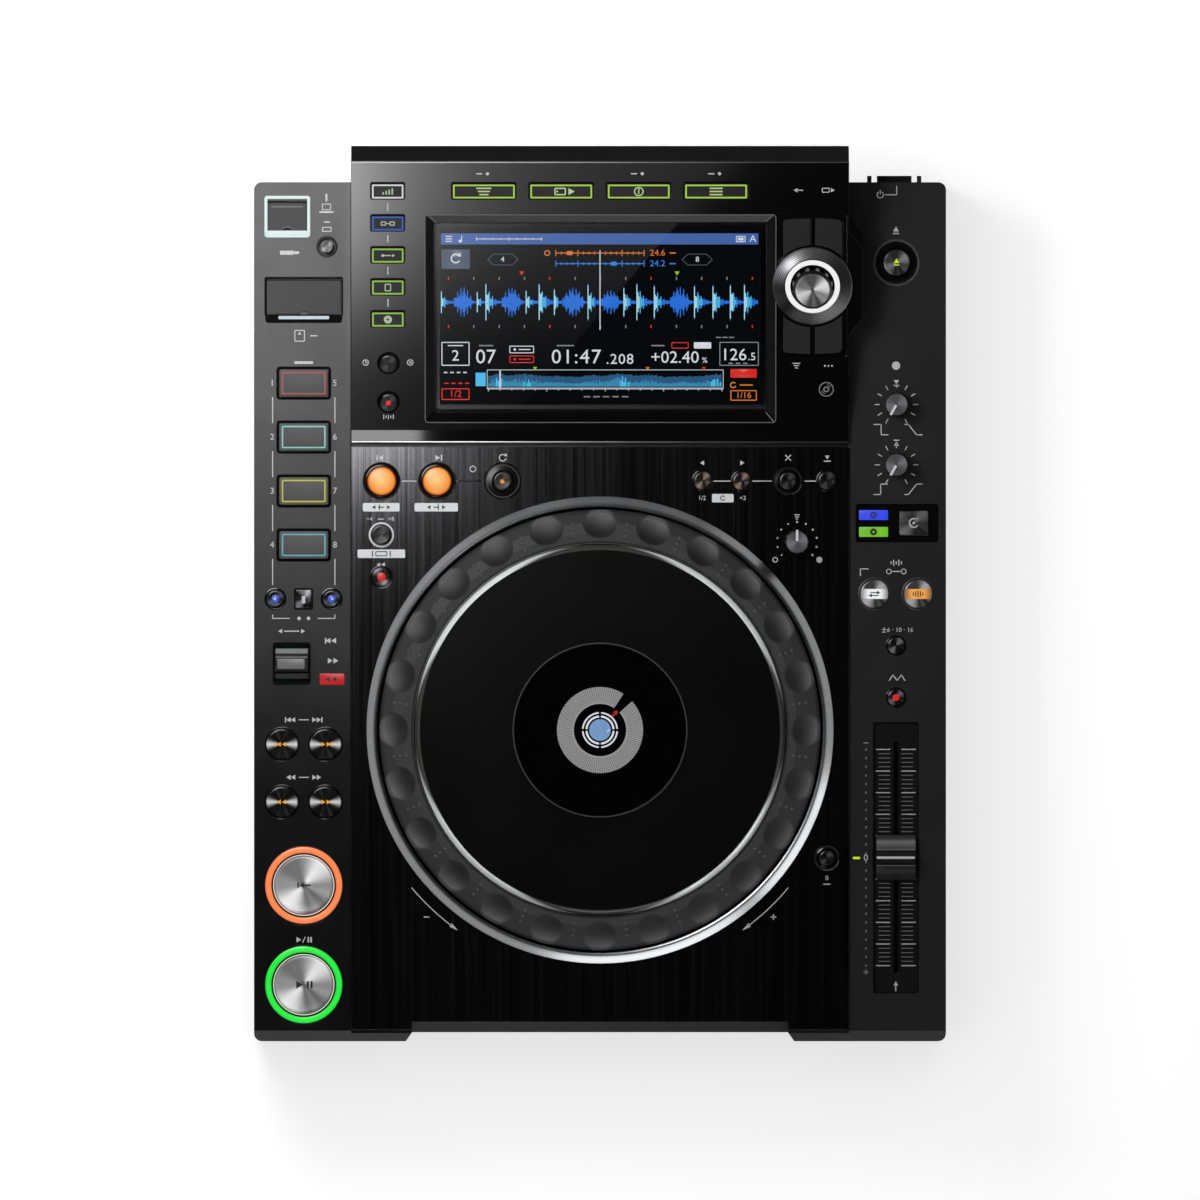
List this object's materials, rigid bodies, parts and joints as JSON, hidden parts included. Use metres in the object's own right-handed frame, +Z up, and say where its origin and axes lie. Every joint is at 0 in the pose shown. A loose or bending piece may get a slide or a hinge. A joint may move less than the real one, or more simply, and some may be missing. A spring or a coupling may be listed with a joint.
{
  "type": "tabletop disc player",
  "caption": "Tabletop disc player with a large dimpled jog wheel round a fixed centre display, a tempo fader, a tilted screen pod, lit buttons and a disc slot in front.",
  "frame": {"origin": "middle of the footprint, on the surface that the feet stand on", "axes": "+X to the user's right, +Y from the front towards the screen and the rear sockets, +Z up"},
  "size_m": [0.32, 0.414, 0.1185],
  "materials": {
    "base_black": "fine textured black",
    "case_plastic": "satin graphite plastic, fine texture",
    "deck_metal": "black anodised, brushed from front to rear",
    "pod_gloss": "glossy black",
    "screen_glass": "clear glass",
    "lcd": "lit colour display",
    "rear_steel": "black painted steel",
    "socket_metal": "bright metal and black inserts",
    "socket_plastic": "black",
    "foot_rubber": "matt",
    "screw_steel": "zinc",
    "drive_steel": "sheet steel",
    "board": "solder mask",
    "supply": "open frame",
    "light_ring": "translucent, lit from below",
    "rim_silver": "satin silver",
    "post_metal": "cast",
    "bearing_bronze": "sintered bronze",
    "jog_display": "smoked lens over a lit display",
    "fader_black": "black with printed scale",
    "jog_top": "black with a bright bevelled edge",
    "grip_rubber": "satin dark grey",
    "encoder": "black film",
    "fader_cap": "ribbed dark plastic with a white line",
    "spun_metal": "spun",
    "key_black": "satin black",
    "shaft_metal": "plain",
    "selector_metal": "spun",
    "door_plastic": "semi-gloss dark grey",
    "knob_metal": "spun top, black skirt",
    "small_spun_metal": "spun",
    "pad_rubber": "translucent dark rubber with a lit border",
    "loop_orange": "lit translucent orange dome",
    "sync_metal": "spun with a lit band"
  },
  "bodies": {
    "case": {"lower_case": "base_black", "upper_case": "case_plastic", "deck_plate": "deck_metal", "display_housing": "pod_gloss", "screen_glass": "screen_glass", "lcd_panel": "lcd", "rear_panel": "rear_steel", "rear_sockets": "socket_metal", "card_sockets": "socket_plastic", "rubber_feet": "foot_rubber", "case_screws": "screw_steel", "disc_drive": "drive_steel", "circuit_boards": "board", "power_supply": "supply", "light_rings": "light_ring", "jog_rim": "rim_silver", "jog_post": "post_metal", "jog_bearing": "bearing_bronze", "jog_display": "jog_display", "fader_unit": "fader_black"},
    "jog": {"jog_plate": "jog_top", "jog_dial": "grip_rubber", "jog_encoder": "encoder"},
    "fader_cap": {"fader_cap": "fader_cap"},
    "play_button": {"play_button": "spun_metal"},
    "cue_button": {"cue_button": "spun_metal"},
    "direction_lever": {"direction_lever": "key_black"},
    "selector_shaft": {"selector_shaft": "shaft_metal"},
    "selector_knob": {"selector_knob": "selector_metal"},
    "usb_flap": {"usb_flap": "door_plastic"},
    "sd_door": {"sd_door": "door_plastic"},
    "jog_adjust_knob": {"jog_adjust_knob": "knob_metal"},
    "touch_brake_knob": {"touch_brake_knob": "knob_metal"},
    "release_start_knob": {"release_start_knob": "knob_metal"},
    "power_switch": {"power_switch": "key_black"},
    "eject_button": {"eject_button": "small_spun_metal"},
    "hot_cue_1": {"hot_cue_1": "pad_rubber"},
    "hot_cue_2": {"hot_cue_2": "pad_rubber"},
    "hot_cue_3": {"hot_cue_3": "pad_rubber"},
    "hot_cue_4": {"hot_cue_4": "pad_rubber"},
    "track_prev": {"track_prev": "small_spun_metal"},
    "track_next": {"track_next": "small_spun_metal"},
    "search_back": {"search_back": "small_spun_metal"},
    "search_forward": {"search_forward": "small_spun_metal"},
    "loop_in": {"loop_in": "loop_orange"},
    "loop_out": {"loop_out": "loop_orange"},
    "reloop": {"reloop": "small_spun_metal"},
    "beat_loop": {"beat_loop": "small_spun_metal"},
    "slip": {"slip": "small_spun_metal"},
    "tempo_reset": {"tempo_reset": "small_spun_metal"},
    "jog_mode": {"jog_mode": "key_black"},
    "sync": {"sync": "sync_metal"},
    "master": {"master": "sync_metal"},
    "source_keys": {"source_keys": "key_black"},
    "browse_keys": {"browse_keys": "key_black"},
    "selector_keys": {"selector_keys": "key_black"},
    "deck_keys": {"deck_keys": "small_spun_metal"},
    "bank_keys": {"bank_keys": "small_spun_metal"},
    "mode_keys": {"mode_keys": "small_spun_metal"},
    "small_keys": {"small_keys": "small_spun_metal"}
  },
  "joints": [
    {"name": "jog_turn", "type": "hinge", "parent": "case", "child": "jog", "pos_m": [0, -0.0629, 0.09], "axis": [0, 0, 1], "continuous": true},
    {"name": "tempo_slide", "type": "slide", "parent": "case", "child": "fader_cap", "axis": [0, 1, 0], "range_m": [-0.05, 0.05]},
    {"name": "play_button_press", "type": "slide", "parent": "case", "child": "play_button", "axis": [0, 0, -1], "range_m": [0, 0.001], "stiffness_N_per_m": 400, "springref_m": -0.002},
    {"name": "cue_button_press", "type": "slide", "parent": "case", "child": "cue_button", "axis": [0, 0, -1], "range_m": [0, 0.001], "stiffness_N_per_m": 400, "springref_m": -0.002},
    {"name": "direction_tilt", "type": "hinge", "parent": "case", "child": "direction_lever", "pos_m": [-0.1426, -0.0322, 0.0775], "axis": [1, 0, 0], "range_deg": [-12, 12]},
    {"name": "selector_push", "type": "slide", "parent": "case", "child": "selector_shaft", "axis": [0, 0.2644, -0.9644], "range_m": [0, 0.001], "stiffness_N_per_m": 400, "springref_m": -0.002},
    {"name": "selector_turn", "type": "hinge", "parent": "selector_shaft", "child": "selector_knob", "pos_m": [0.0982, 0.14242, 0.10277], "axis": [0, -0.2644, 0.9644], "continuous": true},
    {"name": "usb_flap_open", "type": "hinge", "parent": "case", "child": "usb_flap", "pos_m": [-0.1446, 0.18035, 0.0811], "axis": [-1, 0, 0], "range_deg": [0, 95]},
    {"name": "sd_door_open", "type": "hinge", "parent": "case", "child": "sd_door", "pos_m": [-0.137, 0.1444, 0.0811], "axis": [-1, 0, 0], "range_deg": [0, 95]},
    {"name": "jog_adjust_turn", "type": "hinge", "parent": "case", "child": "jog_adjust_knob", "pos_m": [0.0911, 0.024, 0.09], "axis": [0, 0, -1], "range_deg": [-150, 150]},
    {"name": "touch_brake_turn", "type": "hinge", "parent": "case", "child": "touch_brake_knob", "pos_m": [0.1371, 0.0876, 0.09], "axis": [0, 0, -1], "range_deg": [0, 300]},
    {"name": "release_start_turn", "type": "hinge", "parent": "case", "child": "release_start_knob", "pos_m": [0.1371, 0.0597, 0.09], "axis": [0, 0, -1], "range_deg": [0, 300]},
    {"name": "power_switch_press", "type": "slide", "parent": "case", "child": "power_switch", "axis": [0, -1, 0], "range_m": [0, 0.002], "stiffness_N_per_m": 300, "springref_m": -0.002},
    {"name": "eject_button_press", "type": "slide", "parent": "case", "child": "eject_button", "axis": [0, 0, -1], "range_m": [0, 0.001], "stiffness_N_per_m": 300, "springref_m": -0.001},
    {"name": "hot_cue_1_press", "type": "slide", "parent": "case", "child": "hot_cue_1", "axis": [0, 0, -1], "range_m": [0, 0.001], "stiffness_N_per_m": 300, "springref_m": -0.001},
    {"name": "hot_cue_2_press", "type": "slide", "parent": "case", "child": "hot_cue_2", "axis": [0, 0, -1], "range_m": [0, 0.001], "stiffness_N_per_m": 300, "springref_m": -0.001},
    {"name": "hot_cue_3_press", "type": "slide", "parent": "case", "child": "hot_cue_3", "axis": [0, 0, -1], "range_m": [0, 0.001], "stiffness_N_per_m": 300, "springref_m": -0.001},
    {"name": "hot_cue_4_press", "type": "slide", "parent": "case", "child": "hot_cue_4", "axis": [0, 0, -1], "range_m": [0, 0.001], "stiffness_N_per_m": 300, "springref_m": -0.001},
    {"name": "track_prev_press", "type": "slide", "parent": "case", "child": "track_prev", "axis": [0, 0, -1], "range_m": [0, 0.001], "stiffness_N_per_m": 300, "springref_m": -0.001},
    {"name": "track_next_press", "type": "slide", "parent": "case", "child": "track_next", "axis": [0, 0, -1], "range_m": [0, 0.001], "stiffness_N_per_m": 300, "springref_m": -0.001},
    {"name": "search_back_press", "type": "slide", "parent": "case", "child": "search_back", "axis": [0, 0, -1], "range_m": [0, 0.001], "stiffness_N_per_m": 300, "springref_m": -0.001},
    {"name": "search_forward_press", "type": "slide", "parent": "case", "child": "search_forward", "axis": [0, 0, -1], "range_m": [0, 0.001], "stiffness_N_per_m": 300, "springref_m": -0.001},
    {"name": "loop_in_press", "type": "slide", "parent": "case", "child": "loop_in", "axis": [0, 0, -1], "range_m": [0, 0.001], "stiffness_N_per_m": 300, "springref_m": -0.001},
    {"name": "loop_out_press", "type": "slide", "parent": "case", "child": "loop_out", "axis": [0, 0, -1], "range_m": [0, 0.001], "stiffness_N_per_m": 300, "springref_m": -0.001},
    {"name": "reloop_press", "type": "slide", "parent": "case", "child": "reloop", "axis": [0, 0, -1], "range_m": [0, 0.001], "stiffness_N_per_m": 300, "springref_m": -0.001},
    {"name": "beat_loop_press", "type": "slide", "parent": "case", "child": "beat_loop", "axis": [0, 0, -1], "range_m": [0, 0.001], "stiffness_N_per_m": 300, "springref_m": -0.001},
    {"name": "slip_press", "type": "slide", "parent": "case", "child": "slip", "axis": [0, 0, -1], "range_m": [0, 0.001], "stiffness_N_per_m": 300, "springref_m": -0.001},
    {"name": "tempo_reset_press", "type": "slide", "parent": "case", "child": "tempo_reset", "axis": [0, 0, -1], "range_m": [0, 0.001], "stiffness_N_per_m": 300, "springref_m": -0.001},
    {"name": "jog_mode_press", "type": "slide", "parent": "case", "child": "jog_mode", "axis": [0, 0, -1], "range_m": [0, 0.001], "stiffness_N_per_m": 300, "springref_m": -0.001},
    {"name": "sync_press", "type": "slide", "parent": "case", "child": "sync", "axis": [0, 0, -1], "range_m": [0, 0.001], "stiffness_N_per_m": 300, "springref_m": -0.001},
    {"name": "master_press", "type": "slide", "parent": "case", "child": "master", "axis": [0, 0, -1], "range_m": [0, 0.001], "stiffness_N_per_m": 300, "springref_m": -0.001},
    {"name": "source_keys_press", "type": "slide", "parent": "case", "child": "source_keys", "axis": [0, 0.2644, -0.9644], "range_m": [0, 0.001], "stiffness_N_per_m": 300, "springref_m": -0.001},
    {"name": "browse_keys_press", "type": "slide", "parent": "case", "child": "browse_keys", "axis": [0, 0.2644, -0.9644], "range_m": [0, 0.001], "stiffness_N_per_m": 300, "springref_m": -0.001},
    {"name": "selector_keys_press", "type": "slide", "parent": "case", "child": "selector_keys", "axis": [0, 0.2644, -0.9644], "range_m": [0, 0.001], "stiffness_N_per_m": 300, "springref_m": -0.001},
    {"name": "deck_keys_press", "type": "slide", "parent": "case", "child": "deck_keys", "axis": [0, 0, -1], "range_m": [0, 0.001], "stiffness_N_per_m": 300, "springref_m": -0.001},
    {"name": "bank_keys_press", "type": "slide", "parent": "case", "child": "bank_keys", "axis": [0, 0, -1], "range_m": [0, 0.001], "stiffness_N_per_m": 300, "springref_m": -0.001},
    {"name": "mode_keys_press", "type": "slide", "parent": "case", "child": "mode_keys", "axis": [0, 0.2644, -0.9644], "range_m": [0, 0.001], "stiffness_N_per_m": 300, "springref_m": -0.001},
    {"name": "small_keys_press", "type": "slide", "parent": "case", "child": "small_keys", "axis": [0, 0, -1], "range_m": [0, 0.001], "stiffness_N_per_m": 300, "springref_m": -0.001}
  ]
}
